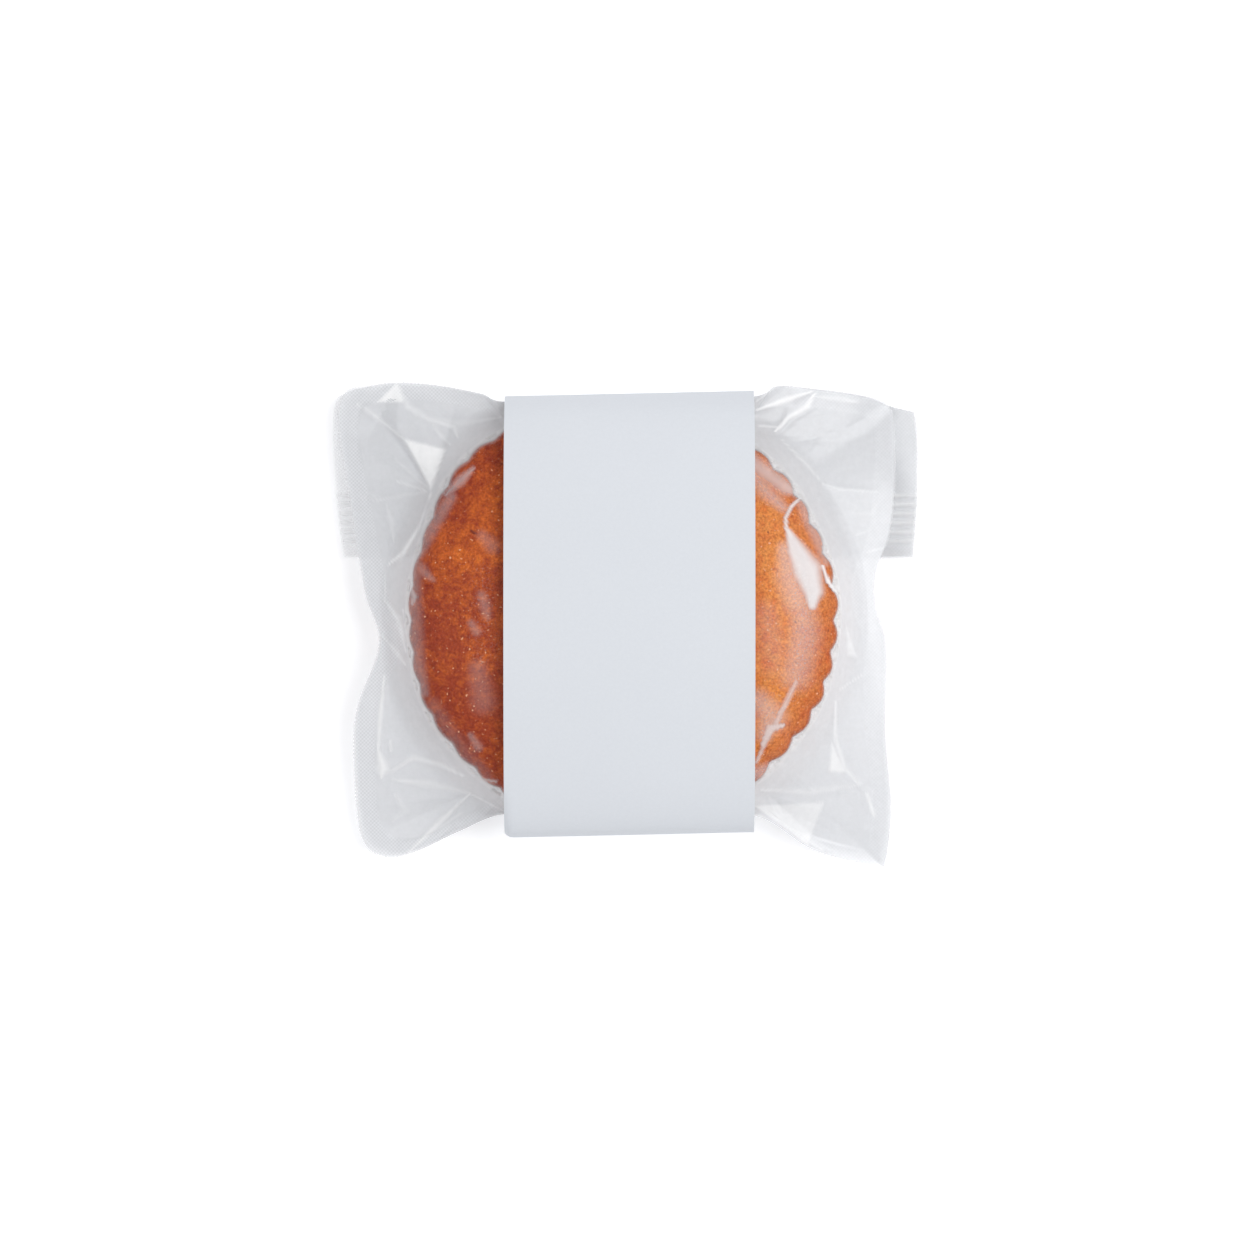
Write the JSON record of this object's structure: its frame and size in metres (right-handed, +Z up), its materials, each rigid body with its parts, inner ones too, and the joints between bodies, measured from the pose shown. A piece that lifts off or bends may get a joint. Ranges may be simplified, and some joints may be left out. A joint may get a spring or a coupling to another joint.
{
  "type": "sealed madeleine cake",
  "caption": "Round fluted madeleine sealed flat in a clear film bag with its top end folded behind, held by a plain paper sleeve.",
  "frame": {"origin": "on the surface that the pack lies on, under the middle of the whole pack", "axes": "+X across the bag to its right side seal, +Y to the bag's folded top end, +Z up through the crust"},
  "size_m": [0.11, 0.0904, 0.0271],
  "materials": {
    "crust": "baked crust, light brown to red brown, with fine pores",
    "film": "clear glossy film, drawn tight",
    "paper": "uncoated pale grey paper"
  },
  "bodies": {
    "root": {"cake": "crust", "bag": "film", "sleeve": "paper"}
  },
  "joints": []
}
